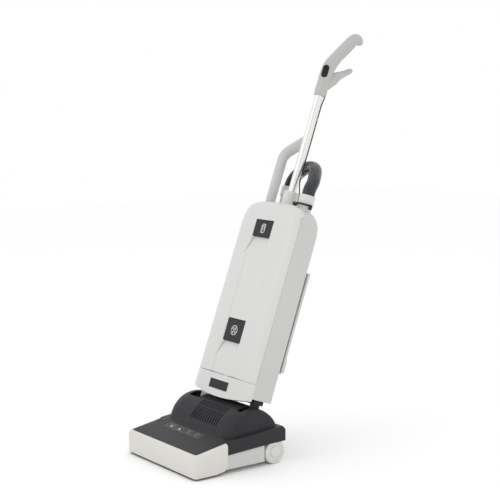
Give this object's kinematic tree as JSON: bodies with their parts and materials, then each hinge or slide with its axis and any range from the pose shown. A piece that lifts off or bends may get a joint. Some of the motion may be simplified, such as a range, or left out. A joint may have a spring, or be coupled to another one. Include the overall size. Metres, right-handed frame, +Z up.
{
  "type": "upright vacuum cleaner",
  "caption": "Commercial upright vacuum cleaner: powered brush head on wheels, leaning bag tower with hinged cover and latches, handle tube with switch, stored wand and suction hose.",
  "frame": {"origin": "centre of the outline at floor level", "axes": "+Z up, -Y towards the front of the brush head, +X to the right seen from the front, the suction hose side"},
  "size_m": [0.316, 0.6722, 1.1038],
  "materials": {
    "bumper": "satin",
    "trim_black": "satin",
    "charcoal": "fine texture",
    "panel": "gloss",
    "lens": "clear gloss",
    "shell": "satin",
    "rubber": "matt",
    "screw": "zinc plated",
    "brush_alu": "extruded",
    "bristle": "nylon",
    "cast": "cast",
    "iron": "laminated",
    "steel": "turned",
    "wheel": "satin",
    "board": "lacquered",
    "cover": "satin",
    "latch": "satin",
    "bag_cloth": "fleece",
    "card": "board",
    "filter_cloth": "pleated",
    "tube": "satin anodised",
    "handle": "satin",
    "cable": "satin",
    "hose": "semi-gloss"
  },
  "bodies": {
    "head": {"bumper": "bumper", "bumper_strip": "trim_black", "hood": "charcoal", "indicator_panel": "panel", "indicator_lenses": "lens", "chassis": "shell", "roller_brackets": "trim_black", "sole_plate": "trim_black", "sole_screws": "screw", "brush_bearings": "screw", "drive_belt": "rubber", "motor_housing": "cast", "motor_stator": "iron", "intake_duct": "trim_black", "trunnions": "steel", "axles": "steel", "control_board": "board"},
    "release": {"release_button": "charcoal"},
    "roller_l": {"roller_left": "rubber"},
    "roller_r": {"roller_right": "rubber"},
    "brush": {"brush_core": "brush_alu", "brush_bristles": "bristle"},
    "rotor": {"motor_rotor": "steel"},
    "wheel_l": {"wheel_left": "wheel"},
    "wheel_r": {"wheel_right": "wheel"},
    "tower": {"rear_shell": "shell", "chamber_gasket": "rubber", "filter_cover": "cover", "badge_plate": "panel", "hinge_brackets": "trim_black", "hinge_pins": "screw", "dust_bag": "bag_cloth", "bag_collar": "card", "filters": "filter_cloth", "neck_frame": "charcoal", "neck_duct": "shell", "base_elbow": "shell", "riser_pipe": "shell", "rear_clips": "shell", "hose_cuff_front": "cover", "hose_cuff_rear": "cover", "wand_socket": "shell", "tube_collar": "cover", "handle_tube": "tube", "handle": "handle", "switch_bezel": "trim_black", "grip_insert": "handle", "switch_lead": "cable", "hose": "hose", "cable_gland": "rubber", "tower_screws": "screw"},
    "bag_cover": {"front_cover": "cover", "latch_pins": "screw"},
    "upper_latch": {"latch_upper": "latch"},
    "lower_latch": {"latch_lower": "latch"},
    "switch": {"switch_slider": "trim_black"},
    "hook": {"cord_hook": "trim_black"},
    "wand": {"wand": "cover"},
    "nozzle": {"crevice_nozzle": "shell"}
  },
  "joints": [
    {"name": "tower_tilt", "type": "hinge", "parent": "head", "child": "tower", "pos_m": [0, -0.14313, 0.068], "axis": [-1, 0, 0], "range_deg": [-18, 38]},
    {"name": "release_press", "type": "slide", "parent": "head", "child": "release", "axis": [0, 0.1929, -0.9812], "range_m": [0, 0.003], "stiffness_N_per_m": 300, "springref_m": -0.002},
    {"name": "roller_left_spin", "type": "hinge", "parent": "head", "child": "roller_l", "pos_m": [-0.1, -0.22213, 0.01], "axis": [1, 0, 0], "continuous": true},
    {"name": "roller_right_spin", "type": "hinge", "parent": "head", "child": "roller_r", "pos_m": [0.1, -0.22213, 0.01], "axis": [1, 0, 0], "continuous": true},
    {"name": "rotor_spin", "type": "hinge", "parent": "head", "child": "rotor", "pos_m": [0, -0.14313, 0.068], "axis": [1, 0, 0], "continuous": true},
    {"name": "brush_spin", "type": "hinge", "parent": "head", "child": "brush", "pos_m": [0, -0.27813, 0.034], "axis": [1, 0, 0], "continuous": true},
    {"name": "wheel_left_spin", "type": "hinge", "parent": "head", "child": "wheel_l", "pos_m": [-0.1382, -0.08343, 0.0313], "axis": [1, 0, 0], "continuous": true},
    {"name": "wheel_right_spin", "type": "hinge", "parent": "head", "child": "wheel_r", "pos_m": [0.1382, -0.08343, 0.0313], "axis": [1, 0, 0], "continuous": true},
    {"name": "bag_cover_open", "type": "hinge", "parent": "tower", "child": "bag_cover", "pos_m": [0, -0.13765, 0.21755], "axis": [1, 0, 0], "range_deg": [0, 55]},
    {"name": "upper_latch_lift", "type": "hinge", "parent": "bag_cover", "child": "upper_latch", "pos_m": [0, 0.00509, 0.6068], "axis": [-1, 0, 0], "range_deg": [0, 30], "stiffness_Nm_per_rad": 0.1, "springref_deg": -17.19},
    {"name": "lower_latch_lift", "type": "hinge", "parent": "bag_cover", "child": "lower_latch", "pos_m": [0, -0.08794, 0.3512], "axis": [-1, 0, 0], "range_deg": [0, 30], "stiffness_Nm_per_rad": 0.1, "springref_deg": -17.19},
    {"name": "switch_slide", "type": "slide", "parent": "tower", "child": "switch", "axis": [0, 0.342, 0.9397], "range_m": [0, 0.007]},
    {"name": "cord_hook_swing", "type": "hinge", "parent": "tower", "child": "hook", "pos_m": [0.048, 0.0555, 0.63421], "axis": [0, -0.342, -0.9397], "range_deg": [0, 80]},
    {"name": "wand_lift", "type": "slide", "parent": "tower", "child": "wand", "axis": [0, 0.342, 0.9397], "range_m": [0, 0.15]},
    {"name": "nozzle_lift", "type": "slide", "parent": "tower", "child": "nozzle", "axis": [0, 0.342, 0.9397], "range_m": [0, 0.1]}
  ],
  "couplings": [
    {"joint": "brush_spin", "follows": "rotor_spin", "ratio": 0.83333}
  ]
}
